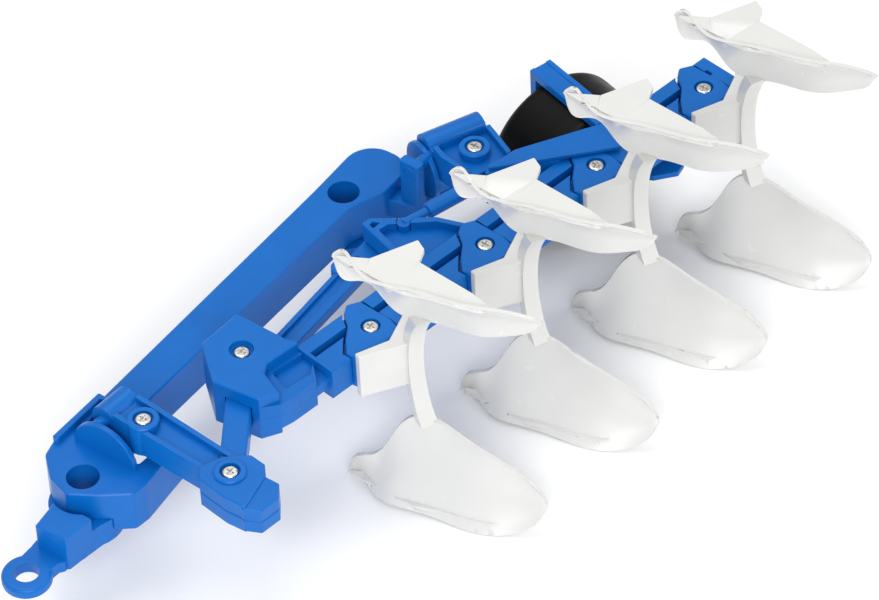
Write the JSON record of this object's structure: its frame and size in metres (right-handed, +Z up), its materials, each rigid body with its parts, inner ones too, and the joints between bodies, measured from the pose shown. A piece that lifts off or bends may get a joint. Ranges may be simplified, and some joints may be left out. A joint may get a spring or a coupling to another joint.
{
  "type": "toy reversible plough",
  "caption": "Toy semi-mounted reversible plough: beam with hitch eye, turnover frame with paired plough bodies, linked legs and a wide trailing wheel.",
  "frame": {"origin": "centre of the hitch eye at the front of the drawbar, half way up the eye", "axes": "+X rearward along the main beam, +Z up, the plough bodies stand on the -Y side at rest"},
  "size_m": [0.3517, 0.1812, 0.1178],
  "materials": {
    "blue_plastic": "satin",
    "white_plastic": "gloss",
    "black_tyre": "satin",
    "black_plastic": "satin",
    "zinc_steel": "bright"
  },
  "bodies": {
    "carrier": {"main_beam": "blue_plastic", "headstock": "blue_plastic", "front_turn_shaft": "blue_plastic", "swivel_ring": "blue_plastic", "rear_bracket": "blue_plastic", "rear_turn_shaft": "blue_plastic", "kingpin": "blue_plastic"},
    "drawbar": {"drawbar": "blue_plastic"},
    "turning_frame": {"front_arm_upper": "blue_plastic", "front_arm_lower": "blue_plastic", "link_bar": "blue_plastic", "fork_block_upper": "blue_plastic", "fork_block_lower": "blue_plastic", "plough_beam": "blue_plastic", "a_frame_bracket": "blue_plastic", "adjusting_strut": "blue_plastic", "brace_bar": "blue_plastic", "rear_clamp_upper": "blue_plastic", "rear_clamp_lower": "blue_plastic", "rear_end_disc": "blue_plastic", "cylinder_barrel": "blue_plastic", "cylinder_rod": "blue_plastic", "clamp_screws": "zinc_steel", "leg_screws": "zinc_steel"},
    "control_rod": {"control_rod": "blue_plastic"},
    "wheel_carriage": {"wheel_fork": "blue_plastic", "wheel_arm": "blue_plastic", "wheel_axle": "black_plastic"},
    "wheel": {"tyre": "black_tyre", "wheel_rim": "black_plastic"},
    "leg_1": {"leg_carrier_1": "blue_plastic", "leg_hub_1": "white_plastic", "mouldboard_lower_1": "white_plastic", "mouldboard_upper_1": "white_plastic"},
    "leg_2": {"leg_carrier_2": "blue_plastic", "leg_hub_2": "white_plastic", "mouldboard_lower_2": "white_plastic", "mouldboard_upper_2": "white_plastic"},
    "leg_3": {"leg_carrier_3": "blue_plastic", "leg_hub_3": "white_plastic", "mouldboard_lower_3": "white_plastic", "mouldboard_upper_3": "white_plastic"},
    "leg_4": {"leg_carrier_4": "blue_plastic", "leg_hub_4": "white_plastic", "mouldboard_lower_4": "white_plastic", "mouldboard_upper_4": "white_plastic"}
  },
  "joints": [
    {"name": "drawbar_swivel", "type": "hinge", "parent": "carrier", "child": "drawbar", "pos_m": [0.0362, 0.0008, 0], "axis": [0, 0, 1], "range_deg": [-20, 20]},
    {"name": "turnover", "type": "hinge", "parent": "carrier", "child": "turning_frame", "pos_m": [0.062, 0.0042, 0.0315], "axis": [-0.9964, 0.0848, 0], "range_deg": [0, 180]},
    {"name": "leg_1_pivot", "type": "hinge", "parent": "turning_frame", "child": "leg_1", "pos_m": [0.1429, -0.0519, 0.0315], "axis": [0, 0, 1], "range_deg": [-4, 4]},
    {"name": "leg_2_pivot", "type": "hinge", "parent": "turning_frame", "child": "leg_2", "pos_m": [0.20199, -0.06169, 0.0315], "axis": [0, 0, 1], "range_deg": [-4, 4]},
    {"name": "leg_3_pivot", "type": "hinge", "parent": "turning_frame", "child": "leg_3", "pos_m": [0.26109, -0.07149, 0.0315], "axis": [0, 0, 1], "range_deg": [-4, 4]},
    {"name": "leg_4_pivot", "type": "hinge", "parent": "turning_frame", "child": "leg_4", "pos_m": [0.32018, -0.08128, 0.0315], "axis": [0, 0, 1], "range_deg": [-4, 4]},
    {"name": "control_slide", "type": "slide", "parent": "turning_frame", "child": "control_rod", "axis": [0.9865, -0.1635, 0], "range_m": [-0.0004, 0.0004]},
    {"name": "wheel_swivel", "type": "hinge", "parent": "carrier", "child": "wheel_carriage", "pos_m": [0.2108, 0.0122, 0], "axis": [0, 0, 1], "range_deg": [0, 8]},
    {"name": "wheel_spin", "type": "hinge", "parent": "wheel_carriage", "child": "wheel", "pos_m": [0.2902, -0.0407, 0.0045], "axis": [0.284, 0.9588, 0], "continuous": true}
  ],
  "couplings": [
    {"joint": "leg_2_pivot", "follows": "leg_1_pivot", "ratio": 1},
    {"joint": "leg_3_pivot", "follows": "leg_1_pivot", "ratio": 1},
    {"joint": "leg_4_pivot", "follows": "leg_1_pivot", "ratio": 1},
    {"joint": "control_slide", "follows": "leg_1_pivot", "m_per_rad": -0.0052}
  ]
}
